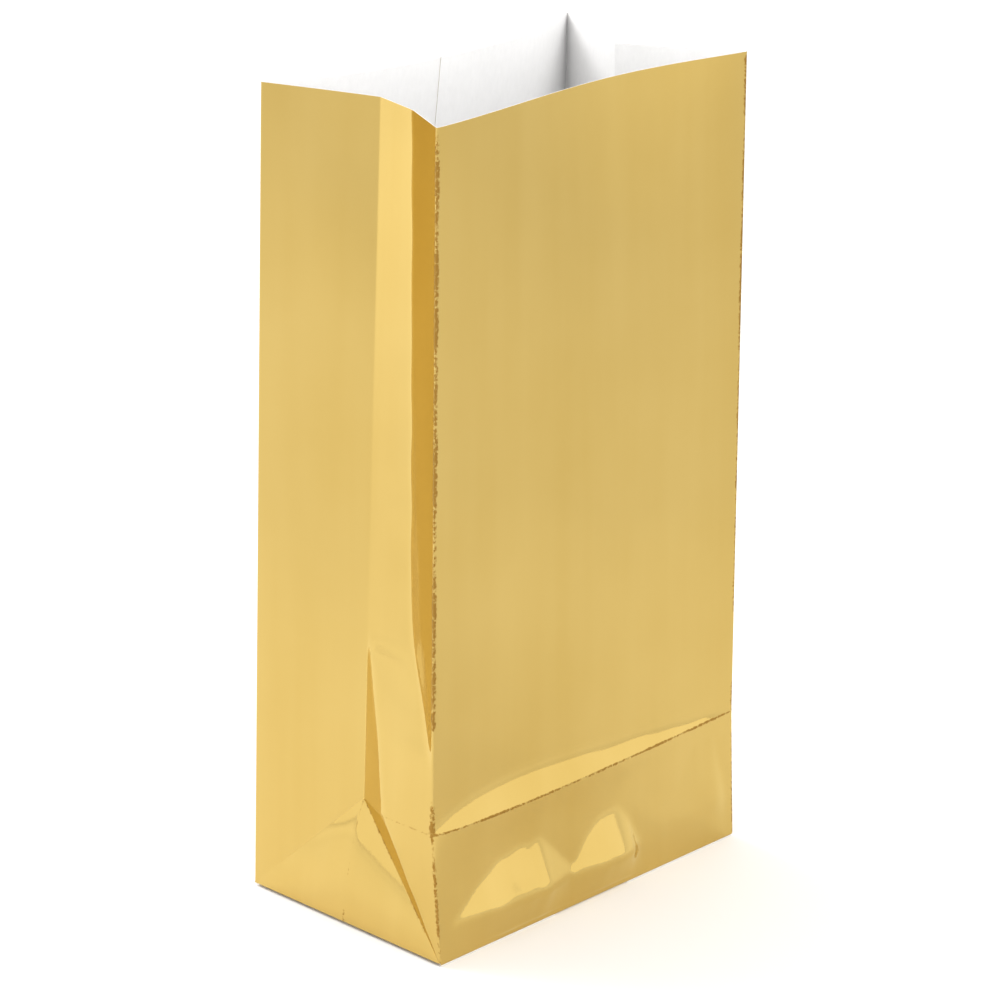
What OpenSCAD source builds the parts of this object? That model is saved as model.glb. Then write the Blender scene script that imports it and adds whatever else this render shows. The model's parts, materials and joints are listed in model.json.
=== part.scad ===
// Gift bag: one sheet of paper with a gold foil face, folded into a tube with two
// side gussets, lapped down the back and pasted into a flat block bottom.
// X runs across the bag, Y from its front to its back, and Z up.
// The origin is the middle of the bottom, on the surface that the bag stands on.

/* [Bag] */
// Width of the front and the back
bag_width = 133; // [100:1:200]
// Depth of the bottom, which is also the width of a gusset laid flat
bag_depth = 80; // [50:1:90]
// Height from the standing surface to the mouth
bag_height = 254; // [160:1:400]

/* [Sheet] */
// Thickness of the white paper ply
paper_thickness = 0.15; // [0.12:0.01:0.2]
// Thickness of the gold foil ply on its outside
foil_thickness = 0.05; // [0.03:0.01:0.08]
// Thickness of a line of glue or paste
glue_thickness = 0.05; // [0.03:0.01:0.08]

/* [Creases] */
// Angle that each half of a gusset is turned in while the bag stands open
gusset_angle = 17.5; // [5:0.5:25]
// Radius of the rounded fold that runs along a crease
crease_radius = 0.12; // [0.08:0.01:0.12]
// Distance from a crease's axis to the panel that turns about it
crease_gap = 0.2; // [0.15:0.01:0.3]
// Clearance across the creases that no hinge joins
open_gap = 0.3; // [0.2:0.1:0.6]
// Clearance of the rear gusset halves and the side feet along the slanting creases
slant_gap = 1.5; // [1.2:0.1:2.5]
// Clearance of the corner pieces along the slanting creases
corner_slant_gap = 2.2; // [2:0.1:3]

/* [Back seam] */
// Width of the lap where the two ends of the sheet are glued
lap_width = 12; // [8:1:20]
// Length over which the inner end steps inwards
lap_step = 1; // [0.5:0.1:2]

/* [Bottom] */
// How far the two bottom flaps overlap in the middle
flap_overlap = 20; // [12:1:30]

/* [Hidden] */

paper_color = "#f1f1ee";
foil_color = "#d9b36a";
glue_color = "#e8e2c8";

sheet = paper_thickness + foil_thickness;
layer = sheet + glue_thickness;
// The bottom stands clear of the lap, which steps in by one layer
rear_gap = layer + crease_gap;
// Half the width and half the depth, to the inner faces of the walls
half_w = bag_width / 2 - sheet;
half_d = bag_depth / 2 - sheet;
// Width of half a gusset, and height of the crease across the front
half_gusset = half_d;
// The bottom's five layers, counted from the outside
inner_flap_z = 2 * layer;
rear_web_z = 3 * layer;
tuck_z = 4 * layer;
floor_z = tuck_z + sheet;
crease_z = floor_z + half_gusset;
// Where the gussets' angle puts the inner face of the front panel
front_y = half_d - 2 * half_gusset * cos(gusset_angle) - 2 * sheet * sin(gusset_angle);
// How far the foot of the front leans in to meet the front panel
foot_lean = asin((front_y + half_d) / half_gusset);
// Depth of the bottom's flaps and tucks, from their creases
flap_depth = half_d + flap_overlap / 2;
bead_facets = 32;

// Lays a ply of the sheet on a panel's shape, from its inner face outwards
module paper_ply() {
    linear_extrude(paper_thickness) children();
}

module foil_ply() {
    translate([0, 0, paper_thickness]) linear_extrude(foil_thickness) children();
}

// The rounded fold along a crease, from the origin along +Z
module crease_bead(length) {
    cylinder(r = crease_radius, h = length, $fn = bead_facets);
}

// The same fold, along the +Y direction of a panel's frame
module upright_bead(length) {
    rotate([-90, 0, 0]) crease_bead(length);
}

// The same fold, along the +X direction of a panel's frame
module level_bead(length) {
    rotate([0, 90, 0]) crease_bead(length);
}

// Frames of the panels. In each, X runs across the panel, Y up it and Z out of the bag,
// with the inner face at Z = 0.
module gusset_rear_frame() {
    translate([-half_w, half_d, 0]) rotate([90, 0, gusset_angle - 90]) children();
}

module gusset_front_frame() {
    gusset_rear_frame()
        translate([half_gusset, 0, sheet])
            rotate([0, -2 * gusset_angle, 0])
                translate([0, 0, -sheet])
                    children();
}

module front_panel_frame() {
    translate([0, front_y, 0]) rotate([90, 0, 0]) children();
}

module front_foot_frame() {
    translate([0, -half_d, floor_z]) rotate([90 - foot_lean, 0, 0]) children();
}

// X runs from the middle of the gusset to the front edge, which is at X = 0
module corner_frame() {
    front_foot_frame()
        translate([-half_w, 0, 0])
            rotate([0, -90 - gusset_angle, 0])
                children();
}

module side_foot_frame() {
    translate([-half_w, 0, floor_z])
        rotate([90, 0, -90])
            rotate([-gusset_angle, 0, 0])
                children();
}

// Mirrors the left side's shape to the right
module right_side() {
    mirror([1, 0, 0]) children();
}

// Back: the left end of the sheet runs flat across the lap
module back_left_ply(from, thickness) {
    translate([-bag_width / 2, half_d + from, 0])
        cube([bag_width / 2 + lap_width / 2, thickness, bag_height]);
}

// The right end of the sheet steps in behind the lap
module back_right_ply(from, thickness) {
    near = half_d + from;
    far = near + thickness;
    step_start = lap_width / 2 + lap_step;
    step_end = step_start + lap_step;
    linear_extrude(bag_height)
        polygon([
            [bag_width / 2, near],
            [step_end, near],
            [step_start, near - layer],
            [-lap_width / 2, near - layer],
            [-lap_width / 2, far - layer],
            [step_start, far - layer],
            [step_end, far],
            [bag_width / 2, far]
        ]);
}

// The folds along the back's upright edge and along its bottom edge
module back_beads(bottom_length) {
    translate([-half_w, half_d, floor_z]) crease_bead(bag_height - floor_z);
    translate([-half_w, half_d, floor_z]) level_bead(bottom_length);
}

module back_left_panel_paper() {
    color(paper_color) {
        union() {
            back_left_ply(0, paper_thickness);
            back_beads(half_w - lap_width / 2 - lap_step);
        }
    }
}

module back_left_panel_foil() {
    color(foil_color) back_left_ply(paper_thickness, foil_thickness);
}

module back_right_panel_paper() {
    color(paper_color) {
        union() {
            back_right_ply(0, paper_thickness);
            right_side() back_beads(half_w - lap_width / 2 - 2 * lap_step);
        }
    }
}

module back_right_panel_foil() {
    color(foil_color) back_right_ply(paper_thickness, foil_thickness);
}

module back_seam_glue() {
    color(glue_color)
        translate([-lap_width / 2, half_d - glue_thickness, 0])
            cube([lap_width, glue_thickness, bag_height]);
}

// Rear half of a gusset: it runs down the slanting crease into the corner of the bottom
module gusset_rear_shape(middle_gap) {
    inner_edge = half_gusset - middle_gap;
    low_end = floor_z + slant_gap;
    polygon([
        [crease_gap, low_end + crease_gap],
        [inner_edge, low_end + inner_edge],
        [inner_edge, bag_height],
        [crease_gap, bag_height]
    ]);
}

module gusset_rear_paper() {
    low_end = crease_z + slant_gap;
    union() {
        paper_ply() gusset_rear_shape(0);
        translate([half_gusset, low_end, sheet]) upright_bead(bag_height - low_end);
    }
}

module left_gusset_rear_paper() {
    color(paper_color) gusset_rear_frame() gusset_rear_paper();
}

module left_gusset_rear_foil() {
    color(foil_color) gusset_rear_frame() foil_ply() gusset_rear_shape(crease_gap);
}

module right_gusset_rear_paper() {
    color(paper_color) right_side() gusset_rear_frame() gusset_rear_paper();
}

module right_gusset_rear_foil() {
    color(foil_color)
        right_side() gusset_rear_frame() foil_ply() gusset_rear_shape(crease_gap);
}

// Front half of a gusset, above the level crease
module gusset_front_shape(front_gap) {
    translate([crease_gap, crease_z + open_gap])
        square([half_gusset - crease_gap - front_gap, bag_height - crease_z - open_gap]);
}

module left_gusset_front_paper() {
    low_end = crease_z + open_gap;
    color(paper_color) {
        gusset_front_frame() {
            union() {
                paper_ply() gusset_front_shape(0);
                translate([half_gusset, low_end, 0]) upright_bead(bag_height - low_end);
            }
        }
    }
}

module left_gusset_front_foil() {
    color(foil_color) gusset_front_frame() foil_ply() gusset_front_shape(0);
}

// The right one stands clear of the front panel, where the ring of panels is open
module right_gusset_front_paper() {
    color(paper_color)
        right_side() gusset_front_frame() paper_ply() gusset_front_shape(crease_gap);
}

module right_gusset_front_foil() {
    color(foil_color)
        right_side() gusset_front_frame() foil_ply() gusset_front_shape(crease_gap);
}

// Front, above the crease that runs across it
module front_panel_shape() {
    translate([-half_w + crease_gap, crease_z + open_gap])
        square([2 * half_w - crease_gap, bag_height - crease_z - open_gap]);
}

module front_panel_paper() {
    low_end = crease_z + open_gap;
    color(paper_color) {
        front_panel_frame() {
            union() {
                paper_ply() front_panel_shape();
                translate([half_w, low_end, 0]) upright_bead(bag_height - low_end);
            }
        }
    }
}

module front_panel_foil() {
    color(foil_color) front_panel_frame() foil_ply() front_panel_shape();
}

// Foot of the front, below the crease
module front_foot_shape() {
    translate([-half_w, crease_gap])
        square([2 * half_w, half_gusset - crease_gap - open_gap]);
}

module front_foot_paper() {
    bead_length = half_gusset - crease_gap - open_gap;
    color(paper_color) {
        front_foot_frame() {
            union() {
                paper_ply() front_foot_shape();
                for (side = [-1, 1]) {
                    translate([side * half_w, crease_gap, 0]) upright_bead(bead_length);
                }
            }
        }
    }
}

module front_foot_foil() {
    color(foil_color) front_foot_frame() foil_ply() front_foot_shape();
}

// Corner piece of a gusset: between the front edge, the level crease and a slanting crease
module corner_shape() {
    top = half_gusset - open_gap;
    polygon([
        [-crease_gap, crease_gap + corner_slant_gap],
        [-crease_gap, top],
        [corner_slant_gap - top, top]
    ]);
}

module left_corner_paper() {
    color(paper_color) corner_frame() paper_ply() corner_shape();
}

module left_corner_foil() {
    color(foil_color) corner_frame() foil_ply() corner_shape();
}

module right_corner_paper() {
    color(paper_color) right_side() corner_frame() paper_ply() corner_shape();
}

module right_corner_foil() {
    color(foil_color) right_side() corner_frame() foil_ply() corner_shape();
}

// Foot of a side: the triangle between the bottom and the two slanting creases
module side_foot_shape() {
    half_base = half_d - crease_gap - slant_gap;
    polygon([
        [-half_base, crease_gap],
        [half_base, crease_gap],
        [0, crease_gap + half_base]
    ]);
}

module left_foot_paper() {
    color(paper_color) side_foot_frame() paper_ply() side_foot_shape();
}

module left_foot_foil() {
    color(foil_color) side_foot_frame() foil_ply() side_foot_shape();
}

module right_foot_paper() {
    color(paper_color) right_side() side_foot_frame() paper_ply() side_foot_shape();
}

module right_foot_foil() {
    color(foil_color) right_side() side_foot_frame() foil_ply() side_foot_shape();
}

// A flat layer of the bottom, with its foil below the paper or above it
module bottom_ply(base, thickness) {
    translate([0, 0, base]) linear_extrude(thickness) children();
}

// Left tuck: the foot of the side, folded in first
module tuck_shape() {
    translate([-half_w, -half_d])
        square([flap_depth, 2 * half_d - rear_gap]);
}

// The folds that the side foot and the front foot turn about
module tuck_paper() {
    side_length = 2 * (half_d - open_gap);
    union() {
        bottom_ply(tuck_z + foil_thickness, paper_thickness) tuck_shape();
        translate([-half_w, -side_length / 2, floor_z]) upright_bead(side_length);
        translate([-half_w, -half_d, floor_z]) level_bead(flap_depth);
    }
}

module bottom_left_tuck_paper() {
    color(paper_color) tuck_paper();
}

module bottom_left_tuck_foil() {
    color(foil_color) bottom_ply(tuck_z, foil_thickness) tuck_shape();
}

module bottom_right_tuck_paper() {
    color(paper_color) right_side() tuck_paper();
}

module bottom_right_tuck_foil() {
    color(foil_color) right_side() bottom_ply(tuck_z, foil_thickness) tuck_shape();
}

// The pair of folded webs between the front flap and the tucks
module front_webs_shape() {
    for (side = [0, 1]) {
        mirror([side, 0])
            polygon([
                [-half_w, -half_d],
                [flap_depth - half_w, -half_d],
                [flap_depth - half_w, flap_depth - half_d]
            ]);
    }
}

// The flap that folds in from the front
module front_flap_shape() {
    polygon([
        [-half_w, -half_d],
        [half_w, -half_d],
        [half_w - flap_depth, flap_depth - half_d],
        [flap_depth - half_w, flap_depth - half_d]
    ]);
}

// The same shapes at the back, where the bottom turns about the back's lower edge
module at_the_back() {
    intersection() {
        mirror([0, 1]) children();
        translate([-half_w, -half_d]) square([2 * half_w, 2 * half_d - rear_gap]);
    }
}

// A web lies with its foil against the tuck's foil, so its paper is below
module bottom_rear_webs_paper() {
    color(paper_color)
        bottom_ply(rear_web_z, paper_thickness) at_the_back() front_webs_shape();
}

module bottom_rear_webs_foil() {
    color(foil_color)
        bottom_ply(rear_web_z + paper_thickness, foil_thickness)
            at_the_back() front_webs_shape();
}

module bottom_inner_flap_paper() {
    color(paper_color)
        bottom_ply(inner_flap_z + foil_thickness, paper_thickness)
            at_the_back() front_flap_shape();
}

module bottom_inner_flap_foil() {
    color(foil_color)
        bottom_ply(inner_flap_z, foil_thickness) at_the_back() front_flap_shape();
}

module bottom_front_webs_paper() {
    color(paper_color) bottom_ply(layer, paper_thickness) front_webs_shape();
}

module bottom_front_webs_foil() {
    color(foil_color)
        bottom_ply(layer + paper_thickness, foil_thickness) front_webs_shape();
}

module bottom_outer_flap_paper() {
    color(paper_color) bottom_ply(foil_thickness, paper_thickness) front_flap_shape();
}

module bottom_outer_flap_foil() {
    color(foil_color) bottom_ply(0, foil_thickness) front_flap_shape();
}

// Paste between the layers, and in the overlap of the two flaps
module bottom_paste() {
    patch_w = 2 * (half_w - flap_depth);
    color(glue_color) {
        union() {
            bottom_ply(sheet, glue_thickness) front_webs_shape();
            bottom_ply(inner_flap_z + sheet, glue_thickness)
                at_the_back() front_webs_shape();
            bottom_ply(rear_web_z + sheet, glue_thickness)
                at_the_back() front_webs_shape();
            bottom_ply(sheet, inner_flap_z - sheet)
                square([patch_w, flap_overlap], center = true);
        }
    }
}

back_left_panel_paper();
back_left_panel_foil();
back_right_panel_paper();
back_right_panel_foil();
back_seam_glue();
left_gusset_rear_paper();
left_gusset_rear_foil();
right_gusset_rear_paper();
right_gusset_rear_foil();
left_gusset_front_paper();
left_gusset_front_foil();
right_gusset_front_paper();
right_gusset_front_foil();
front_panel_paper();
front_panel_foil();
front_foot_paper();
front_foot_foil();
left_corner_paper();
left_corner_foil();
right_corner_paper();
right_corner_foil();
left_foot_paper();
left_foot_foil();
right_foot_paper();
right_foot_foil();
bottom_left_tuck_paper();
bottom_left_tuck_foil();
bottom_right_tuck_paper();
bottom_right_tuck_foil();
bottom_rear_webs_paper();
bottom_rear_webs_foil();
bottom_inner_flap_paper();
bottom_inner_flap_foil();
bottom_front_webs_paper();
bottom_front_webs_foil();
bottom_outer_flap_paper();
bottom_outer_flap_foil();
bottom_paste();
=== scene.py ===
"""The looks of a gold foil gift bag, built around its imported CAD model.

The bag's sheet is laid out as one skin that is welded along its creases. Each panel of the skin then
becomes two closed shells, a white paper ply inside and a gold foil ply outside, that move with the
panel's CAD body. Lengths are in metres.
"""

import json
import math

import bpy
import numpy as np
from mathutils import Matrix, Vector, kdtree


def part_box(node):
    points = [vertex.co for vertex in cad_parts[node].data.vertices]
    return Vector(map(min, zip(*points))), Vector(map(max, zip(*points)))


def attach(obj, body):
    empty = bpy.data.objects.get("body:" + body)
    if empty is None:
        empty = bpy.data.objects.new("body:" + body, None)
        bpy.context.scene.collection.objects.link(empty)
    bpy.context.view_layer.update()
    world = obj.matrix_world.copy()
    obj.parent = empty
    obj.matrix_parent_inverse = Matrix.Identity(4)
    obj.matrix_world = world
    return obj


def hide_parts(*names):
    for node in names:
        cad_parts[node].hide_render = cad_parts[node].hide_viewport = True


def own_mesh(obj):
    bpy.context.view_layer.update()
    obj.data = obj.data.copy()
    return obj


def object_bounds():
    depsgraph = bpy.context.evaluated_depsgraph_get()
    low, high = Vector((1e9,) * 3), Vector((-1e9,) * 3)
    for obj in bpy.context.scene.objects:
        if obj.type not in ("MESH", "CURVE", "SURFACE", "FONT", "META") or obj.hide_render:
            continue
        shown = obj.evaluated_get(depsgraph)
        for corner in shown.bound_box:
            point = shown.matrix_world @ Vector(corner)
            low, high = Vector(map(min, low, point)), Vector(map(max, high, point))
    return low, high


MM = 0.001

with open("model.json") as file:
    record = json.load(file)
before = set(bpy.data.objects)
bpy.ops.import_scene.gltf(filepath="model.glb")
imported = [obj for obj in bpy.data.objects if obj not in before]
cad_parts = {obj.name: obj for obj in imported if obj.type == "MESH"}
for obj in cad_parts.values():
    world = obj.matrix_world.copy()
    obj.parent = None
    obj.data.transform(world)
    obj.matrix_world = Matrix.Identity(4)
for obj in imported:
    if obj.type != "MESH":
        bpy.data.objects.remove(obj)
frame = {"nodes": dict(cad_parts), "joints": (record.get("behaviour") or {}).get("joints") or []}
cad_low, cad_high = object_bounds()

# ---------------------------------------------------------------- sizes taken from the frame

PIVOT = {joint["name"]: np.array(joint["pos_m"]) for joint in frame["joints"]}
HALF_W = abs(PIVOT["left_rear_crease"][0])
HALF_D = PIVOT["left_rear_crease"][1]
FLOOR_Z = PIVOT["bottom_fold"][2]
FRONT_Y = PIVOT["left_front_crease"][1]
MOUTH_Z = cad_high[2]
SHEET = cad_high[0] - HALF_W
HALF_GUSSET = HALF_D
CREASE_Z = FLOOR_Z + HALF_GUSSET
PAPER = FRONT_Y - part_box("front_panel_foil")[1][1]
LAP_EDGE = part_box("back_seam_glue")[1][0]
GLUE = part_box("back_seam_glue")[1][1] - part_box("back_seam_glue")[0][1]
FLAP_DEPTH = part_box("bottom_left_tuck_foil")[1][0] + HALF_W
REAR_GAP = HALF_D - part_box("bottom_left_tuck_foil")[1][1]
# Angle that each half of a gusset is turned in
SPREAD = math.asin((HALF_W + SHEET - abs(PIVOT["left_middle_crease"][0])) / HALF_GUSSET)
LEFT, RIGHT = -1, 1

# ---------------------------------------------------------------- how the standing bag is shaped

# The back leans in towards the mouth, and its upright edges close in a little
REAR_LEAN = 3.4 * MM
REAR_TAPER = 1.6 * MM
# The front closes in less. It stands this far behind its CAD plane at the mouth and at the ends of
# the crease across it, which lie a little above half the bag's depth
FRONT_TAPER = 0.5 * MM
FRONT_SET_TOP = 1.1 * MM
FRONT_SET_CREASE = {LEFT: 0.2 * MM, RIGHT: -1.6 * MM}
CREASE_RISE = {LEFT: 0.3 * MM, RIGHT: 1.4 * MM}
# How far each gusset is pushed in, at the apex of the side foot and at the mouth, and how far the
# crease down its middle stands behind the bag's own middle at the mouth
APEX_PUSH = 7.8 * MM
APEX_Z = 39.5 * MM
MOUTH_PUSH = {LEFT: 14.0 * MM, RIGHT: 21.5 * MM}
MOUTH_PUSH_Y = {LEFT: 0.2 * MM, RIGHT: -1.2 * MM}
# How far the panels bow inwards at the mouth
BACK_BOW = 14.3 * MM
FRONT_BOW = 6.6 * MM
# The front half of a gusset is bent along its height: steeper by the front edge, flatter behind
STRIP_WIDTH = 18.2 * MM
STRIP_SLOPE = math.tan(math.radians(27))
STRIP_WIGGLE = {LEFT: 0.4 * MM, RIGHT: 0.08 * MM}
STRIP_BEGINS, STRIP_FULL = 50 * MM, 108 * MM
# Low down it is steeper again next to the middle crease
HEEL_TOP = 92 * MM
HEEL_WIDTH = 15 * MM
HEEL_SLOPE = math.tan(math.radians(23.5))
# Half widths of those two bends, as shares of the gusset's half
STRIP_BEND, HEEL_BEND = 0.05, 0.035
# The crease across the front stands proud of the panels above and below it
RIDGE_REACH = 8.6 * MM
RIDGE_SLOPE = math.tan(math.radians(20))
UNDERCUT_REACH = 6.8 * MM
# How far a side foot stands out along its middle
SIDE_RIDGE = 1.8 * MM
# Bulges of the front's foot, in metres: left and right end, height of the crown and of the sill
# above the floor, and slope
BULGES = (
    (-0.062, -0.003, 0.0260, 0.0105, 0.27),
    (-0.011, 0.0250, 0.0255, 0.0100, 0.27),
    (0.036, 0.066, 0.0360, 0.0130, 0.06),
)
# How much the creases are rounded, and how far from them
ROUNDING_PASSES = 14
ROUNDING_REACH = 2.4 * MM
# Lap seam: where the right end steps in behind the left end, and how far the free edge stands off
LAP_STEP = 1 * MM
LAP_LIFT = 0.35 * MM
LAP_LIFT_WIDTH = 3 * MM
GLUE_MARGIN = 2 * MM
# How much painted shade and dark reflection, with some crazing of the foil, darkens each crease, from 0
# to 1, and how far that reaches
SHADE_AND_WEAR = {
    "rear_edge": (0.25, 0.4 * MM),
    "middle_crease": (0.05, 0.4 * MM),
    "rear_slant": (0.15, 0.5 * MM),
    "front_edge": (1.0, 1.3 * MM),
    "level_crease": (0.45, 0.6 * MM),
    "corner_slant": (0.6, 0.8 * MM),
    "corner_edge": (0.8, 0.8 * MM),
    "side_foot_middle": (0.62, 0.45 * MM),
    "front_crease": (1.0, 0.5 * MM),
    "lap_edge": (0.6, 0.7 * MM),
    "flap_edge": (0.3, 1.0 * MM),
}
# Above the crease a stretch of the front's upright edges is spared most of that painted shade and wear:
# the heights between which it sets in and ends
SPARED_FROM = (50 * MM, 54 * MM)
SPARED_TO = (73 * MM, 77 * MM)
SPARED_SHARE = 0.75

# ---------------------------------------------------------------- sampling of the panels

# Distances from a crease at which a panel has its first rows of points
FINE_ROWS = np.array([0, 0.12, 0.26, 0.44, 0.68, 1.0, 1.45, 2.1]) * MM


def shares(length, step, fine_end=True):
    """Positions from 0 to 1 along a length, close together where it meets a crease."""
    start = FINE_ROWS / length
    end = 1 - FINE_ROWS[::-1] / length if fine_end else np.array([1.0])
    count = max(2, int(round((end[0] - start[-1]) * length / step)) + 1)
    return np.concatenate([start, np.linspace(start[-1], end[0], count)[1:-1], end])


ACROSS = shares(2 * HALF_W, 1.3 * MM)
SHORT = shares(HALF_GUSSET, 1.3 * MM)
BASE = shares(2 * HALF_D, 1.6 * MM)
UPRIGHT = shares(MOUTH_Z - CREASE_Z, 2.0 * MM, fine_end=False)


def mix(a, b, share):
    """Straight from a to b, for points or lists of points."""
    share = np.asarray(share)[..., None]
    return np.asarray(a) * (1 - share) + np.asarray(b) * share


def ease(value, low, high):
    """0 below low and 1 above high, with a smooth rise between them."""
    t = np.clip((np.asarray(value) - low) / (high - low), 0, 1)
    return t * t * (3 - 2 * t)


def waves(a, b, seed, length, height, count=7):
    """A smooth uneven relief over two lengths, from a few seeded waves."""
    random = np.random.default_rng(seed)
    relief = np.zeros(np.broadcast(a, b).shape)
    for _ in range(count):
        turn = random.uniform(0, 2 * math.pi)
        pitch = length * random.uniform(0.7, 1.6)
        phase = random.uniform(0, 2 * math.pi)
        relief += np.sin(2 * math.pi * (a * math.cos(turn) + b * math.sin(turn)) / pitch + phase)
    return relief * height / math.sqrt(count)


# ---------------------------------------------------------------- the edges that panels share

APEX = {side: np.array([side * (HALF_W - APEX_PUSH), 0.0, APEX_Z]) for side in (LEFT, RIGHT)}
FRONT_CORNER = {s: np.array([s * HALF_W, -HALF_D, FLOOR_Z]) for s in (LEFT, RIGHT)}
REAR_CORNER = {s: np.array([s * HALF_W, HALF_D, FLOOR_Z]) for s in (LEFT, RIGHT)}
CREASE_END = {
    s: np.array([s * HALF_W, FRONT_Y + FRONT_SET_CREASE[s], CREASE_Z + CREASE_RISE[s]])
    for s in (LEFT, RIGHT)
}
FRONT_MOUTH = {
    s: np.array([s * (HALF_W - FRONT_TAPER), FRONT_Y + FRONT_SET_TOP, MOUTH_Z])
    for s in (LEFT, RIGHT)
}
REAR_MOUTH = {
    s: np.array([s * (HALF_W - REAR_TAPER), HALF_D - REAR_LEAN, MOUTH_Z])
    for s in (LEFT, RIGHT)
}
MIDDLE_MOUTH = {
    s: np.array([s * (HALF_W - MOUTH_PUSH[s]), MOUTH_PUSH_Y[s], MOUTH_Z])
    for s in (LEFT, RIGHT)
}


def ridge_reach(across):
    """How far above the crease the front begins to swing out, at a share of its width."""
    return RIDGE_REACH * np.sin(math.pi * across**0.6) ** 0.9 + 0.01 * MM


def ramp(height, reach, softness=0.07):
    """1 at height 0, straight down to 0 at reach, with a soft bend there."""
    s = 1 - height / reach
    return 0.5 * (s + np.sqrt(s * s + softness**2)) / (0.5 * (1 + math.sqrt(1 + softness**2)))


# ---------------------------------------------------------------- the panels


def front_panel():
    """Front above the crease: it swings out to the crease and bows inwards at the mouth."""
    across, up = np.meshgrid(ACROSS, UPRIGHT)
    low = mix(CREASE_END[LEFT], CREASE_END[RIGHT], ACROSS)
    high = mix(FRONT_MOUTH[LEFT], FRONT_MOUTH[RIGHT], ACROSS)
    grid = mix(low[None], high[None], up)
    height = grid[..., 2] - low[None, :, 2]
    bow = np.sin(math.pi * across**1.35) ** 1.2 * FRONT_BOW * up**2
    reach = ridge_reach(across)
    swing = RIDGE_SLOPE * reach * ramp(height, reach) * (across > 0) * (across < 1)
    edge_free = np.sin(math.pi * across) ** 0.5
    relief = waves(grid[..., 0], height, seed=3, length=70 * MM, height=0.16 * MM)
    relief += waves(grid[..., 0], height * 0.12, seed=4, length=16 * MM, height=0.012 * MM)
    fade = ease(height, 0, 12 * MM)
    grid[..., 1] += bow - swing + relief * edge_free * fade
    return grid


def bulge(x, z, left, right, crown, sill, slope):
    """A facet that comes forward from its arched top down to its sill, then goes back to the floor."""
    along = np.clip((x - left) / (right - left), 0, 1)
    arch = np.sin(0.5 * math.pi * np.clip(along / 0.52, 0, 1)) ** 1.2 * ease(1 - along, 0, 0.36)
    ragged = waves(x, 0 * x, seed=13, length=7 * MM, height=0.5 * MM) * arch
    top = sill + (crown - sill) * arch + ragged
    above = slope * (top - z)
    below = slope * (top - sill) * z / sill
    height = soft_min(np.maximum(above, 0), np.maximum(below, 0), 0.12 * MM)
    return height * ease(arch, 0, 0.12)


def soft_min(a, b, width):
    """The smaller of two values, with the corner rounded."""
    return 0.5 * (a + b - np.sqrt((a - b) ** 2 + width**2) + width)


def front_foot():
    """Foot of the front: dented where the bag was handled."""
    across, up = np.meshgrid(ACROSS, SHORT)
    low = mix(FRONT_CORNER[LEFT], FRONT_CORNER[RIGHT], ACROSS)
    high = mix(CREASE_END[LEFT], CREASE_END[RIGHT], ACROSS)
    grid = mix(low[None], high[None], up)
    below = (1 - up) * HALF_GUSSET
    swing = RIDGE_SLOPE * ridge_reach(across) * np.exp(-((below / UNDERCUT_REACH) ** 1.3))
    swing *= (across > 0) * (across < 1)
    x, z = grid[..., 0], grid[..., 2] - FLOOR_Z
    dents = waves(x, z, seed=11, length=16 * MM, height=0.09 * MM)
    for left, right, crown, sill, slope in BULGES:
        dents += bulge(x, z, left, right, crown, sill, slope)
    hold = ease(up, 0, 0.04) * ease(1 - up, 0, 0.1)
    hold *= ease(across, 0, 0.05) * ease(1 - across, 0, 0.05)
    grid[..., 1] -= swing + dents * hold
    return grid


def back_panel():
    """Back: it bows inwards at the mouth, most in its middle."""
    across, up = np.meshgrid(ACROSS, UPRIGHT)
    low = mix(REAR_CORNER[LEFT], REAR_CORNER[RIGHT], ACROSS)
    high = mix(REAR_MOUTH[LEFT], REAR_MOUTH[RIGHT], ACROSS)
    grid = mix(low[None], high[None], up)
    bow = (1 - np.abs(2 * across - 1) ** 2.6) * BACK_BOW * up**1.8
    relief = waves(grid[..., 0], grid[..., 2], seed=7, length=70 * MM, height=0.16 * MM)
    relief *= np.sin(math.pi * across) ** 0.5 * ease(up, 0, 0.06)
    grid[..., 1] -= bow + relief
    return grid


def gusset_rear(side):
    """Rear half of a gusset, above the slanting crease: columns run from the rear edge inwards."""
    inward, up = np.meshgrid(SHORT, UPRIGHT)
    low = mix(REAR_CORNER[side], APEX[side], SHORT)
    high = mix(REAR_MOUTH[side], MIDDLE_MOUTH[side], SHORT)
    grid = mix(low[None], high[None], up)
    belly = np.sin(math.pi * inward) * ease(up, 0, 0.25)
    relief = waves(grid[..., 1], grid[..., 2], seed=20 + side, length=60 * MM, height=0.14 * MM)
    grid[..., 0] += side * (relief - 0.25 * MM) * belly
    return grid


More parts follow.
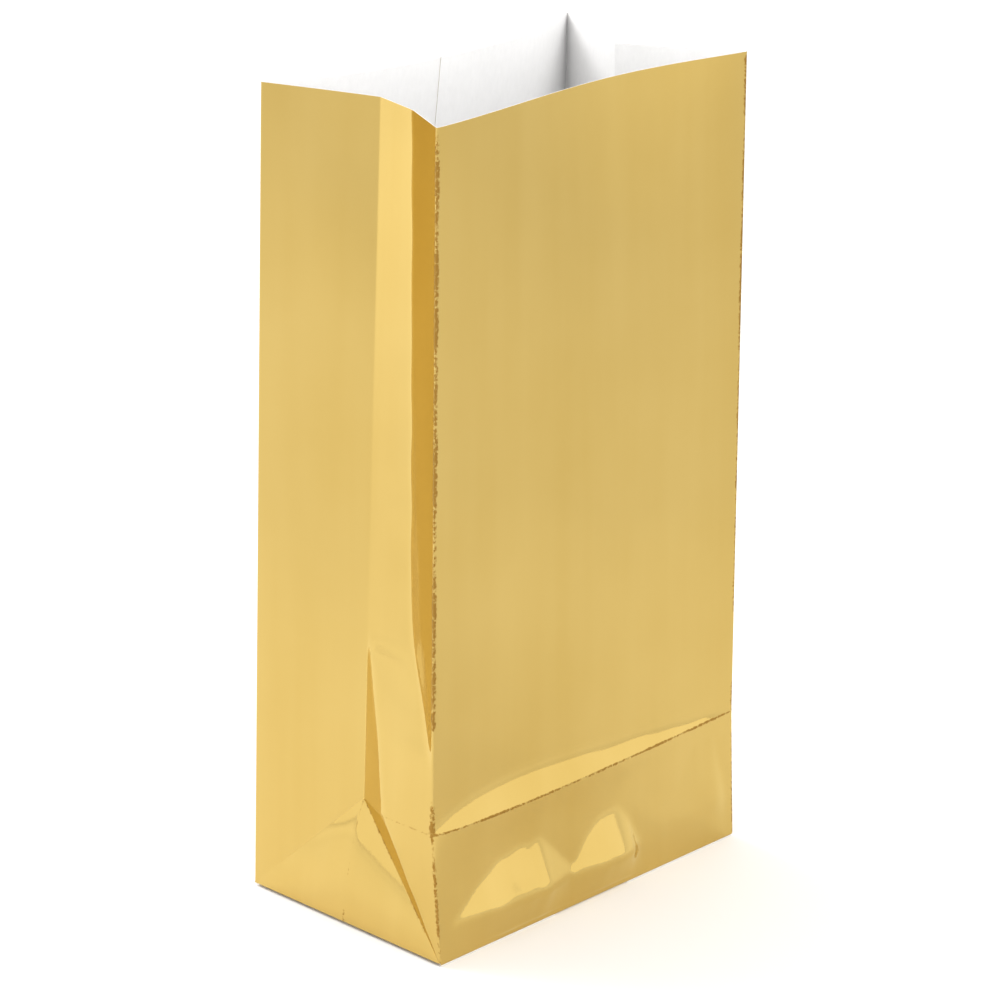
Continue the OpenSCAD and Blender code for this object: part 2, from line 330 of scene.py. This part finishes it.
def gusset_front(side):
    """Front half of a gusset, above the level crease: columns run from the middle forwards."""
    forward, up = np.meshgrid(SHORT, UPRIGHT)
    low = mix(APEX[side], CREASE_END[side], SHORT)
    high = mix(MIDDLE_MOUTH[side], FRONT_MOUTH[side], SHORT)
    grid = mix(low[None], high[None], up)
    z = grid[:, :1, 2]
    reach = grid[:, :1, 1] - grid[:, -1:, 1]
    chord = side * (grid[:, -1:, 0] - grid[:, :1, 0]) / reach
    wiggle = waves(z, z * 0, seed=60 + side, length=18 * MM, height=STRIP_WIGGLE[side])
    strip = (STRIP_WIDTH + wiggle) * ease(z, STRIP_BEGINS, STRIP_FULL) / reach
    heel = HEEL_WIDTH * np.clip((HEEL_TOP - z) / (HEEL_TOP - CREASE_Z), 0, 1) ** 0.75
    heel = (heel + 0.4 * wiggle * (heel > 0)) / reach
    by_edge = ease(forward, 1 - strip - STRIP_BEND, 1 - strip + STRIP_BEND) * ease(strip, 0, 0.12)
    by_middle = (1 - ease(forward, heel - HEEL_BEND, heel + HEEL_BEND)) * ease(heel, 0, 0.08)
    # The strip is always a little steeper than the straight way across
    steep = np.maximum(STRIP_SLOPE, 1.08 * chord) - chord
    slope = by_edge * steep + by_middle * np.maximum(HEEL_SLOPE - chord, 0)
    free = 1 - np.maximum(by_edge, by_middle)
    steps = np.diff(SHORT)[None]

    def total(values):
        """Running total over the columns."""
        inner = np.cumsum(0.5 * (values[:, 1:] + values[:, :-1]) * steps, axis=1)
        return np.concatenate([np.zeros((len(values), 1)), inner], axis=1)

    gained, room = total(slope), total(free)
    offset = gained - room * gained[:, -1:] / room[:, -1:]
    relief = waves(grid[..., 1], grid[..., 2], seed=30 + side, length=40 * MM, height=0.04 * MM)
    bend = offset * reach + relief * np.sin(math.pi * forward) * ease(up, 0, 0.08)
    grid[..., 0] += side * bend
    return grid


def corner(side):
    """Corner piece of a gusset: rows run from the bottom's corner up to the level crease."""
    forward, up = np.meshgrid(SHORT, SHORT)
    top = gusset_front(side)[0]
    grid = mix(FRONT_CORNER[side], top[None], up)
    belly = np.sin(math.pi * forward) * np.sin(math.pi * up)
    relief = waves(grid[..., 1], grid[..., 2], seed=40 + side, length=14 * MM, height=0.1 * MM)
    grid[..., 0] += side * (relief + 0.1 * MM) * belly
    return grid


def side_foot(side):
    """Foot of a side: rows run from the bottom's side edge up to the apex."""
    along, up = np.meshgrid(BASE, SHORT)
    low = mix(FRONT_CORNER[side], REAR_CORNER[side], BASE)
    grid = mix(low[None], APEX[side], up)
    ridge = 1 - np.abs(2 * along - 1)
    grid[..., 0] += side * SIDE_RIDGE * ridge * np.sin(math.pi * up) ** 0.7
    relief = waves(grid[..., 1], grid[..., 2], seed=50 + side, length=22 * MM, height=0.09 * MM)
    grid[..., 0] += side * relief * np.sin(math.pi * along) * np.sin(math.pi * up)
    return grid


# ---------------------------------------------------------------- one welded skin


class Skin:
    """The panels' inner faces, welded where they share a crease."""

    WELD = 1e-6

    def __init__(self):
        self.points = []
        self.known = {}
        self.faces = {}

    def add(self, panel, grid, outward):
        """Adds a grid of points as a panel whose faces point outward."""
        rows, columns = grid.shape[:2]
        ids = np.zeros((rows, columns), int)
        for r in range(rows):
            for c in range(columns):
                key = tuple(np.round(grid[r, c] / self.WELD).astype(int))
                if key not in self.known:
                    self.known[key] = len(self.points)
                    self.points.append(grid[r, c])
                ids[r, c] = self.known[key]
        middle = grid[rows // 2, columns // 2]
        step_c = grid[rows // 2, columns // 2 + 1] - middle
        step_r = grid[rows // 2 + 1, columns // 2] - middle
        turn = np.dot(np.cross(step_c, step_r), outward) > 0
        faces = []
        for r in range(rows - 1):
            for c in range(columns - 1):
                ring = [ids[r, c], ids[r, c + 1], ids[r + 1, c + 1], ids[r + 1, c]]
                ring = [v for i, v in enumerate(ring) if v != ring[i - 1]]
                if len(ring) > 2:
                    faces.append(ring if turn else ring[::-1])
        self.faces[panel] = faces
        return ids

    def normals(self):
        """Unit normals at the points, from the faces around each by their area."""
        points = np.array(self.points)
        total = np.zeros_like(points)
        for faces in self.faces.values():
            for ring in faces:
                a, b, c = points[ring[0]], points[ring[1]], points[ring[2]]
                d = points[ring[-1]]
                area = np.cross(c - a, d - b) if len(ring) == 4 else np.cross(b - a, c - a)
                for v in ring:
                    total[v] += area
        total /= np.linalg.norm(total, axis=1)[:, None] + 1e-30
        return total

    def edges(self):
        """The pairs of points that an edge joins."""
        pairs = set()
        for faces in self.faces.values():
            for ring in faces:
                for i, v in enumerate(ring):
                    pairs.add((min(v, ring[i - 1]), max(v, ring[i - 1])))
        return np.array(sorted(pairs))


def crease_lines(skin_ids):
    """The name of each crease and the ids of the points along it."""
    lines = []
    for name in ("left", "right"):
        rear = skin_ids[f"{name}_gusset_rear"]
        front = skin_ids[f"{name}_gusset_front"]
        piece = skin_ids[f"{name}_corner"]
        foot = skin_ids[f"{name}_foot"]
        lines += [
            ("rear_edge", rear[:, 0]),
            ("middle_crease", rear[:, -1]),
            ("rear_slant", rear[0]),
            ("front_edge", front[:, -1]),
            ("level_crease", front[0]),
            ("corner_slant", piece[:, 0]),
            ("corner_edge", piece[:, -1]),
            ("side_foot_middle", foot[:, len(BASE) // 2]),
        ]
    lines.append(("front_crease", skin_ids["front_panel"][0]))
    return lines


def build_skin():
    """The welded skin of all the panels, and the ids of each panel's grid of points."""
    skin = Skin()
    ids = {
        "back": skin.add("back", back_panel(), (0, 1, 0)),
        "front_panel": skin.add("front_panel", front_panel(), (0, -1, 0)),
        "front_foot": skin.add("front_foot", front_foot(), (0, -1, 0)),
    }
    for side, name in ((LEFT, "left"), (RIGHT, "right")):
        for part, make in (
            ("gusset_rear", gusset_rear),
            ("gusset_front", gusset_front),
            ("corner", corner),
            ("foot", side_foot),
        ):
            ids[f"{name}_{part}"] = skin.add(f"{name}_{part}", make(side), (side, 0, 0))
    return skin, ids


def round_creases(points, edges, distance):
    """Rounds the creases by relaxing the points close to them."""
    weight = (1 - ease(distance, 0.4 * ROUNDING_REACH, ROUNDING_REACH))[:, None]
    a, b = edges[:, 0], edges[:, 1]
    for _ in range(ROUNDING_PASSES):
        length = np.linalg.norm(points[a] - points[b], axis=1)
        pull = 1 / np.maximum(length, 0.02 * MM)
        total = np.zeros_like(points)
        share = np.zeros(len(points))
        np.add.at(total, a, points[b] * pull[:, None])
        np.add.at(total, b, points[a] * pull[:, None])
        np.add.at(share, a, pull)
        np.add.at(share, b, pull)
        target = total / share[:, None]
        points = points + (target - points) * weight * 0.5
    return points


def distance_to(line):
    """How far each point of the skin is from a line of its points."""
    between = (0, 0.25, 0.5, 0.75)
    tree = kdtree.KDTree(len(line) * len(between))
    for a, b in zip(line[:-1], line[1:]):
        for share in between:
            tree.insert(points[a] * (1 - share) + points[b] * share, 0)
    tree.insert(points[line[-1]], 0)
    tree.balance()
    return np.array([tree.find(p)[2] for p in points])


def shade_and_wear_at(distance, crease):
    """How much painted shade and wear darken the foil at a distance from a crease."""
    shade_and_wear, reach = SHADE_AND_WEAR[crease]
    return shade_and_wear * np.exp(-((distance / reach) ** 2))


def skin_shade_and_wear():
    """How much painted shade and wear darken the foil at each point of the skin: none on the rim."""
    spared = SPARED_SHARE * ease(points[:, 2], *SPARED_FROM) * (1 - ease(points[:, 2], *SPARED_TO))
    shade_and_wear = np.zeros(len(points))
    for (crease, _), distance in zip(lines, distances):
        kept = 1 - spared if crease == "front_edge" else 1
        shade_and_wear = np.maximum(shade_and_wear, kept * shade_and_wear_at(distance, crease))
    shade_and_wear[rim] = 0
    return shade_and_wear


# The values above are painted shade and dark reflection along the creases, with some crazing of the foil
def level_normals():
    """Normals of the skin, level at its foot and its rim so that the sheet ends flat there."""
    normals = skin.normals()
    normals[ground | rim, 2] = 0
    return normals / np.linalg.norm(normals, axis=1)[:, None]


skin, skin_ids = build_skin()
points = np.array(skin.points)
rim = np.abs(points[:, 2] - MOUTH_Z) < skin.WELD
ground = np.abs(points[:, 2] - FLOOR_Z) < skin.WELD
lines = crease_lines(skin_ids)
distances = [distance_to(line) for _, line in lines]
SKIN_SHADE_AND_WEAR = skin_shade_and_wear()
SKIN = round_creases(points, skin.edges(), np.min(distances, axis=0))
SKIN[rim, 2] = MOUTH_Z
SKIN[ground] = points[ground]
skin.points = list(SKIN)
SKIN_NORMALS = level_normals()

# ---------------------------------------------------------------- materials


class Nodes:
    """Short calls for building a material's node tree."""

    def __init__(self, name):
        self.material = bpy.data.materials.new(name)
        self.material.use_nodes = True
        self.tree = self.material.node_tree
        self.tree.nodes.clear()
        self.shader = self.add("ShaderNodeBsdfPrincipled")
        output = self.add("ShaderNodeOutputMaterial")
        self.link(self.shader.outputs["BSDF"], output.inputs["Surface"])

    def add(self, kind, **values):
        """A new node with these settings."""
        node = self.tree.nodes.new(kind)
        for key, value in values.items():
            setattr(node, key, value)
        return node

    def link(self, source, target):
        """Joins an output to an input."""
        self.tree.links.new(source, target)

    def place(self, scale=(1, 1, 1)):
        """Positions on the bag, stretched by scale."""
        source = self.add("ShaderNodeTexCoord")
        mapping = self.add("ShaderNodeMapping")
        mapping.inputs["Scale"].default_value = scale
        self.link(source.outputs["Object"], mapping.inputs["Vector"])
        return mapping.outputs["Vector"]

    def noise(self, scale, detail=3, roughness=0.5, stretch=(1, 1, 1)):
        """Noise over the bag: scale is its grains per metre."""
        node = self.add("ShaderNodeTexNoise")
        node.inputs["Scale"].default_value = scale
        node.inputs["Detail"].default_value = detail
        node.inputs["Roughness"].default_value = roughness
        self.link(self.place(stretch), node.inputs["Vector"])
        return node.outputs["Fac"]

    def remap(self, source, low, high, to_low, to_high):
        """A value from low to high brought between to_low and to_high."""
        node = self.add("ShaderNodeMapRange")
        node.inputs["From Min"].default_value = low
        node.inputs["From Max"].default_value = high
        node.inputs["To Min"].default_value = to_low
        node.inputs["To Max"].default_value = to_high
        self.link(source, node.inputs["Value"])
        return node.outputs["Result"]

    def math(self, operation, a, b):
        """Two values combined; either may be a plain number."""
        node = self.add("ShaderNodeMath", operation=operation)
        for socket, value in zip(node.inputs, (a, b)):
            if isinstance(value, (int, float)):
                socket.default_value = value
            else:
                self.link(value, socket)
        return node.outputs["Value"]

    def blend_colors(self, share, a, b):
        """Colour a where share is 0 and b where it is 1."""
        node = self.add("ShaderNodeMix", data_type="RGBA")
        for name, value in (("A", a), ("B", b)):
            socket = [s for s in node.inputs if s.name == name and s.type == "RGBA"][0]
            if isinstance(value, tuple):
                socket.default_value = (*value, 1)
            else:
                self.link(value, socket)
        self.link(share, node.inputs["Factor"])
        return [s for s in node.outputs if s.type == "RGBA"][0]

    def attribute(self, name):
        """A value stored on the mesh's points."""
        node = self.add("ShaderNodeAttribute", attribute_name=name)
        return node.outputs["Fac"]

    def bump(self, height, strength, distance, before=None):
        """A relief of this distance in metres, on top of an earlier one."""
        node = self.add("ShaderNodeBump")
        node.inputs["Strength"].default_value = strength
        node.inputs["Distance"].default_value = distance
        self.link(height, node.inputs["Height"])
        if before is not None:
            self.link(before, node.inputs["Normal"])
        return node.outputs["Normal"]


GOLD = (0.605, 0.432, 0.138)
GOLD_DEEP = (0.562, 0.392, 0.113)
# Darkest colour along the creases: painted shade and dark reflection, with some crazed foil
GOLD_SHADED_WORN = (0.32, 0.175, 0.035)
# Keeps the foil gold where it is seen at a low angle
EDGE_TINT = (1.0, 0.97, 0.78)
PAPER_DARK = (0.815, 0.813, 0.81)
PAPER_LIGHT = (0.875, 0.872, 0.87)
GLUE_DARK = (0.72, 0.68, 0.52)
GLUE_LIGHT = (0.80, 0.77, 0.63)


def gold_foil():
    """Mirror-like gold film on paper, darkened along the creases by painted shade and by crazing."""
    n = Nodes("gold_foil")
    cloud = n.noise(18, detail=4)
    streak = n.noise(60, detail=3, stretch=(1, 1, 0.06))
    tone = n.math("ADD", n.math("MULTIPLY", cloud, 0.5), n.math("MULTIPLY", streak, 0.5))
    base = n.blend_colors(n.remap(tone, 0.35, 0.65, 0, 1), GOLD_DEEP, GOLD)
    crackle = n.noise(900, detail=4, roughness=0.7)
    patchy = n.remap(n.noise(70, detail=3), 0.4, 0.6, 0.6, 1)
    broken = n.math("MULTIPLY", n.remap(crackle, 0.38, 0.62, 0.4, 1), patchy)
    # Painted shade and dark reflection along the creases, broken up like crazed foil; there the foil is
    # also rougher
    shade_and_wear = n.remap(n.math("MULTIPLY", n.attribute("fold"), broken), 0.3, 0.5, 0, 1)
    n.link(n.blend_colors(shade_and_wear, base, GOLD_SHADED_WORN), n.shader.inputs["Base Color"])
    n.shader.inputs["Metallic"].default_value = 1.0
    n.shader.inputs["Specular Tint"].default_value = (*EDGE_TINT, 1)
    rough = n.remap(cloud, 0.3, 0.7, 0.05, 0.085)
    n.link(n.math("ADD", rough, n.math("MULTIPLY", shade_and_wear, 0.25)), n.shader.inputs["Roughness"])
    soft = n.bump(n.noise(120, detail=2, stretch=(1, 1, 0.35)), 0.35, 0.00012)
    fine = n.bump(n.noise(1500, detail=2), 0.25, 0.00001, soft)
    n.link(fine, n.shader.inputs["Normal"])
    return n.material


def white_paper():
    """Uncoated white paper with a faint fibre."""
    n = Nodes("white_paper")
    fibre = n.noise(700, detail=5, roughness=0.65, stretch=(1, 1, 0.4))
    cloud = n.noise(30, detail=3)
    tone = n.math("ADD", n.math("MULTIPLY", fibre, 0.5), n.math("MULTIPLY", cloud, 0.5))
    base = n.blend_colors(n.remap(tone, 0.35, 0.65, 0, 1), PAPER_DARK, PAPER_LIGHT)
    n.link(base, n.shader.inputs["Base Color"])
    n.link(n.remap(fibre, 0.3, 0.7, 0.8, 0.95), n.shader.inputs["Roughness"])
    n.shader.inputs["Specular IOR Level"].default_value = 0.3
    n.link(n.bump(fibre, 0.3, 0.00003), n.shader.inputs["Normal"])
    return n.material


def dried_glue():
    """Thin dried paste, slightly yellow."""
    n = Nodes("glue")
    cloud = n.noise(200, detail=3)
    base = n.blend_colors(n.remap(cloud, 0.3, 0.7, 0, 1), GLUE_DARK, GLUE_LIGHT)
    n.link(base, n.shader.inputs["Base Color"])
    n.link(n.remap(cloud, 0.3, 0.7, 0.45, 0.65), n.shader.inputs["Roughness"])
    n.link(n.bump(cloud, 0.3, 0.00003), n.shader.inputs["Normal"])
    return n.material


MATERIALS = {"gold_foil": gold_foil(), "white_paper": white_paper(), "glue": dried_glue()}

# ---------------------------------------------------------------- plies from the skin


def mark_sharp(mesh, pairs):
    """Marks the edges between these pairs of points as sharp."""
    ends = np.zeros(2 * len(mesh.edges), np.int32)
    mesh.edges.foreach_get("vertices", ends)
    sharp = {(min(a, b), max(a, b)) for a, b in pairs}
    marks = [(min(a, b), max(a, b)) in sharp for a, b in ends.reshape(-1, 2).tolist()]
    mesh.edges.foreach_set("use_edge_sharp", marks)


def shell(name, faces, inner, outer, slot, fold=None):
    """A closed thin solid between two layers of the same faces, as a new mesh object."""
    used = sorted({v for ring in faces for v in ring})
    place = {v: i for i, v in enumerate(used)}
    count = len(used)
    rings = [[place[v] for v in ring] for ring in faces]
    sides = [(ring[i - 1], v) for ring in rings for i, v in enumerate(ring)]
    known = set(sides)
    walls = [(a, b) for a, b in sides if (b, a) not in known]
    verts = np.concatenate([outer[used], inner[used]])
    polygons = [tuple(ring) for ring in rings]
    polygons += [tuple(v + count for v in ring[::-1]) for ring in rings]
    polygons += [(b, a, a + count, b + count) for a, b in walls]
    mesh = bpy.data.meshes.new(name)
    mesh.from_pydata(verts.tolist(), [], polygons)
    smooth = [True] * (2 * len(rings)) + [False] * len(walls)
    mesh.polygons.foreach_set("use_smooth", smooth)
    # The painted crease shade and wear, kept on the points for the foil's colour
    if fold is not None:
        data = np.concatenate([fold[used], fold[used]]).astype(np.float32)
        mesh.attributes.new("fold", "FLOAT", "POINT").data.foreach_set("value", data)
    mesh.update()
    mark_sharp(mesh, walls + [(a + count, b + count) for a, b in walls])
    piece = bpy.data.objects.new(name, mesh)
    bpy.context.scene.collection.objects.link(piece)
    piece.data.materials.append(MATERIALS[slot])
    return piece


def plies(name, faces, base=SKIN, outward=SKIN_NORMALS, fold=SKIN_SHADE_AND_WEAR):
    """The paper and foil shells of one panel, laid on its inner face."""
    paper, foil = base + outward * PAPER, base + outward * SHEET
    return {
        "paper": shell(f"{name}_paper", faces, base, paper, "white_paper"),
        "foil": shell(f"{name}_foil", faces, paper, foil, "gold_foil", fold),
    }


# Front, above the crease
for ply, piece in plies("front", skin.faces["front_panel"]).items():
    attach(piece, "front_panel")
    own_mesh(piece)
    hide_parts(f"front_panel_{ply}")

# Foot of the front
lean = math.atan2(FRONT_Y + HALF_D, HALF_GUSSET)
for ply, piece in plies("front_foot_sheet", skin.faces["front_foot"]).items():
    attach(piece, "front_foot")
    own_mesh(piece)
    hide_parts(f"front_foot_{ply}")

# Gussets, corner pieces and side feet
for side, name in ((LEFT, "left"), (RIGHT, "right")):
    for half, y in (("rear", HALF_D), ("front", FRONT_Y)):
        faces = skin.faces[f"{name}_gusset_{half}"]
        for ply, piece in plies(f"{name}_gusset_{half}_half", faces).items():
            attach(piece, f"{name}_gusset_{half}")
            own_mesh(piece)
            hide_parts(f"{name}_gusset_{half}_{ply}")
    # Square to the corner piece, which leans with the foot of the front
    inward = np.array([-side * math.sin(SPREAD), math.cos(SPREAD), 0])
    inward[1:] = inward[1] * math.cos(lean), -inward[1] * math.sin(lean)
    for ply, piece in plies(f"{name}_corner_sheet", skin.faces[f"{name}_corner"]).items():
        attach(piece, f"{name}_corner")
        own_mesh(piece)
        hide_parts(f"{name}_corner_{ply}")
    for ply, piece in plies(f"{name}_foot_sheet", skin.faces[f"{name}_foot"]).items():
        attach(piece, f"{name}_foot")
        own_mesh(piece)
        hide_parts(f"{name}_foot_{ply}")

# Back: the left end of the sheet lies outside the right end along the lap
back_ids = skin_ids["back"]
back_columns = points[back_ids[0], 0]
low_edge = back_columns[np.argmin(np.abs(back_columns + LAP_EDGE))]
high_edge = back_columns[np.argmin(np.abs(back_columns - LAP_EDGE))]


def back_faces(low, high):
    """The back's faces between two of its columns."""
    inside = (back_columns >= low - skin.WELD) & (back_columns <= high + skin.WELD)
    chosen = set(back_ids[:, inside].ravel().tolist())
    return [ring for ring in skin.faces["back"] if all(v in chosen for v in ring)]


def ride_back(piece):
    """Moves a piece with the back."""
    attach(piece, "back")
    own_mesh(piece)


skin_x = SKIN[:, :1]
behind = 1 - ease(skin_x, LAP_EDGE + LAP_STEP, LAP_EDGE + 2 * LAP_STEP)
stepped_in = SKIN - SKIN_NORMALS * (SHEET + GLUE) * behind
lifted = SKIN + SKIN_NORMALS * LAP_LIFT * ease(skin_x, LAP_EDGE - LAP_LIFT_WIDTH, LAP_EDGE)
# Painted shade along the free edge of the lap, as well as on the creases
seam_shade_and_wear = np.maximum(SKIN_SHADE_AND_WEAR, shade_and_wear_at(skin_x[:, 0] - LAP_EDGE, "lap_edge"))
for ply, piece in plies("back_left_end", back_faces(-HALF_W, high_edge), lifted, fold=seam_shade_and_wear).items():
    ride_back(piece)
    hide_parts(f"back_left_panel_{ply}")
for ply, piece in plies("back_right_end", back_faces(low_edge, HALF_W), stepped_in).items():
    ride_back(piece)
    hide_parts(f"back_right_panel_{ply}")
glue_faces = back_faces(low_edge + GLUE_MARGIN, high_edge - GLUE_MARGIN)
glue_line = shell("seam_glue_line", glue_faces, SKIN - SKIN_NORMALS * GLUE, SKIN, "glue")
ride_back(glue_line)
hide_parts("back_seam_glue")

# ---------------------------------------------------------------- bottom


def turned_in(name, node, *, inward, length, radius, cut, lift, seed):
    """A flap of the bottom: it turns in from the foot of a wall with a round fold.

    length is the wall's foot, cut how much each side narrows per length of depth, and lift how far
    the flap may rise.
    """
    # Distance between points, and how far from the fold the flap has its full rise
    pitch = 1.5 * MM
    settled = 6 * MM
    inward = np.array([*inward, 0.0])
    sideways = np.array([-inward[1], inward[0], 0.0])
    down = np.array([0, 0, -1.0])
    distance = abs(np.dot(inward, (HALF_W, HALF_D, 0)))
    turns = np.linspace(0, math.pi / 2, 9)
    flat = FLAP_DEPTH - radius
    outward, foot = [], []
    for turn in turns:
        normal = down * math.sin(turn) - inward * math.cos(turn)
        outward.append(normal)
        foot.append(inward * (radius - distance) + normal * radius)
    for depth in shares(flat, pitch)[1:] * flat:
        outward.append(down)
        foot.append(inward * (radius + depth - distance) + down * radius)
    outward, foot = np.array(outward), np.array(foot) + (0, 0, FLOOR_Z)
    depth = foot @ inward + distance
    across = shares(length, pitch)
    half = (length / 2 - cut * depth)[:, None, None]
    grid = foot[:, None] + (2 * across[None, :, None] - 1) * half * sideways
    relief = 0.5 + waves(grid[..., 0], grid[..., 1], seed=seed, length=26 * MM, height=0.25)
    grid[..., 2] += ease(depth, radius, radius + settled)[:, None] * np.clip(relief, 0, 1) * lift
    rows, columns = grid.shape[:2]
    ids = np.arange(rows * columns).reshape(rows, columns)
    faces = [
        [ids[r, c], ids[r + 1, c], ids[r + 1, c + 1], ids[r, c + 1]]
        for r in range(rows - 1)
        for c in range(columns - 1)
    ]
    spread = np.repeat(outward[:, None], columns, axis=1).reshape(-1, 3)
    # Painted shade and wear along the flap's round fold
    fold = np.repeat(shade_and_wear_at(depth, "flap_edge"), columns)
    for ply, piece in plies(name, faces, grid.reshape(-1, 3), spread, fold).items():
        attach(piece, "bottom")
        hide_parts(f"{node}_{ply}")


turned_in(
    "outer_flap_sheet",
    "bottom_outer_flap",
    inward=(0, 1),
    length=2 * HALF_W,
    radius=1.0 * MM,
    cut=1,
    lift=0.04 * MM,
    seed=71,
)
turned_in(
    "inner_flap_sheet",
    "bottom_inner_flap",
    inward=(0, -1),
    length=2 * HALF_W,
    radius=0.5 * MM,
    cut=1,
    lift=0.04 * MM,
    seed=72,
)
for side, name in ((LEFT, "left"), (RIGHT, "right")):
    turned_in(
        f"{name}_tuck_sheet",
        f"bottom_{name}_tuck",
        inward=(-side, 0),
        length=2 * HALF_D - 2 * REAR_GAP,
        radius=0.05 * MM,
        cut=0,
        lift=0.3 * MM,
        seed=73 + side,
    )


def slot_of(node):
    """The material of a CAD node, from the end of its name."""
    for ending, slot in (("foil", "gold_foil"), ("paste", "glue")):
        if node.endswith(ending):
            return slot
    return "white_paper"


# The webs and the paste keep their CAD mesh
for node, obj in frame["nodes"].items():
    if not obj.hide_render:
        obj.data.materials.clear()
        obj.data.materials.append(MATERIALS[slot_of(node)])


# ---------------------------------------------------------------- floor, light and camera


FLOOR_HALF = 3.0
# Painted light: the floor is lighter close to the bag, where the bag shades it, and far off; the middle
# distance keeps the plain grey tone
FLOOR_NEAR_PAINTED_LIGHT = (0.875, 0.875, 0.895)
FLOOR_DARK = (0.745, 0.745, 0.755)
FLOOR_LIGHT = (0.765, 0.765, 0.775)
FLOOR_FAR_PAINTED_LIGHT = (0.93, 0.93, 0.93)
# Distances from the bag over which one tone gives way to the next
NEAR_ENDS = (0.12, 0.42)
FAR_BEGINS = (1.1, 1.7)


def floor_material():
    """A pale floor with painted light: lighter close to the bag, where the bag shades it, and far off;
    greyer at a middle distance.
    """
    n = Nodes("studio_floor")
    cloud = n.noise(3, detail=3)
    tone = n.blend_colors(n.remap(cloud, 0.3, 0.7, 0, 1), FLOOR_DARK, FLOOR_LIGHT)
    place = n.add("ShaderNodeVectorMath", operation="LENGTH")
    n.link(n.place(), place.inputs[0])
    away = n.remap(place.outputs["Value"], *NEAR_ENDS, 0, 1)
    far = n.remap(place.outputs["Value"], *FAR_BEGINS, 0, 1)
    around = n.blend_colors(away, FLOOR_NEAR_PAINTED_LIGHT, tone)
    n.link(n.blend_colors(far, around, FLOOR_FAR_PAINTED_LIGHT), n.shader.inputs["Base Color"])
    n.shader.inputs["Roughness"].default_value = 0.7
    n.shader.inputs["Specular IOR Level"].default_value = 0.2
    return n.material


def add_floor():
    """A square floor under the bag."""
    mesh = bpy.data.meshes.new("floor")
    corners = [(x * FLOOR_HALF, y * FLOOR_HALF, 0) for x, y in ((-1, -1), (1, -1), (1, 1), (-1, 1))]
    mesh.from_pydata(corners, [], [(0, 1, 2, 3)])
    floor = bpy.data.objects.new("floor", mesh)
    bpy.context.scene.collection.objects.link(floor)
    floor.data.materials.append(floor_material())


def add_light(name, place, target, size, power):
    """A soft rectangular lamp at a place, turned to its target; power is in watts."""
    light = bpy.data.lights.new(name, "AREA")
    light.shape = "RECTANGLE"
    light.size, light.size_y = size
    light.energy = power
    obj = bpy.data.objects.new(name, light)
    bpy.context.scene.collection.objects.link(obj)
    obj.location = place
    obj.rotation_mode = "QUATERNION"
    obj.rotation_quaternion = (Vector(target) - Vector(place)).to_track_quat("-Z", "Y")


# Strength of the light from around: at the horizon and high up, and where the one becomes the other
HORIZON, ZENITH = 1.5, 0.85
FADE_BEGINS, FADE_ENDS = 0.25, 0.9


def add_world():
    """Soft light from all around, brightest towards the horizon."""
    world = bpy.data.worlds.new("studio")
    bpy.context.scene.world = world
    world.use_nodes = True
    tree = world.node_tree
    background = tree.nodes["Background"]
    background.inputs["Color"].default_value = (1.0, 0.99, 0.975, 1)
    place = tree.nodes.new("ShaderNodeTexCoord")
    split = tree.nodes.new("ShaderNodeSeparateXYZ")
    fade = tree.nodes.new("ShaderNodeMapRange")
    fade.inputs["From Min"].default_value = FADE_BEGINS
    fade.inputs["From Max"].default_value = FADE_ENDS
    fade.inputs["To Min"].default_value = HORIZON
    fade.inputs["To Max"].default_value = ZENITH
    tree.links.new(place.outputs["Generated"], split.inputs["Vector"])
    tree.links.new(split.outputs["Z"], fade.inputs["Value"])
    tree.links.new(fade.outputs["Result"], background.inputs["Strength"])


AZIMUTH = math.radians(-46.75)
ELEVATION = math.radians(19.49)
ROLL = math.radians(0.83)
DISTANCE = 1.207
SENSOR = 36.0
# Focal length in widths of the sensor
ZOOM = 3.992
# The camera aims this far below and left of the bag's middle
AIM_LEFT, AIM_BELOW = 0.86 * MM, 6.85 * MM


def add_camera():
    """The photograph's view: from the front left, a little above, through a long lens."""
    back = Vector(
        (
            math.sin(AZIMUTH) * math.cos(ELEVATION),
            -math.cos(AZIMUTH) * math.cos(ELEVATION),
            math.sin(ELEVATION),
        )
    )
    middle = Vector((0, 0, MOUTH_Z / 2))
    data = bpy.data.cameras.new("camera")
    data.sensor_width = SENSOR
    data.lens = SENSOR * ZOOM
    data.clip_end = 10 * FLOOR_HALF
    camera = bpy.data.objects.new("camera", data)
    bpy.context.scene.collection.objects.link(camera)
    place = middle + back * DISTANCE
    right = (-back).cross(Vector((0, 0, 1))).normalized()
    up = right.cross(-back)
    turned_right = right * math.cos(ROLL) + up * math.sin(ROLL)
    turned_up = up * math.cos(ROLL) - right * math.sin(ROLL)
    aim = middle - turned_up * AIM_BELOW - turned_right * AIM_LEFT
    forward = (aim - place).normalized()
    side = forward.cross(turned_up).normalized()
    upward = side.cross(forward)
    basis = Matrix((side, upward, -forward)).transposed()
    camera.rotation_mode = "QUATERNION"
    camera.location = place
    camera.rotation_quaternion = basis.to_quaternion()
    bpy.context.scene.camera = camera


add_floor()
add_world()
add_light("back_light", place=(-0.25, 0.95, 1.0), target=(-0.15, 0.5, 0), size=(0.9, 0.7), power=12)
add_light("key_light", place=(-0.25, -1.6, 1.5), target=(0, 0, 0.2), size=(1.0, 1.0), power=17)
add_camera()
bpy.context.scene.view_settings.view_transform = "Standard"
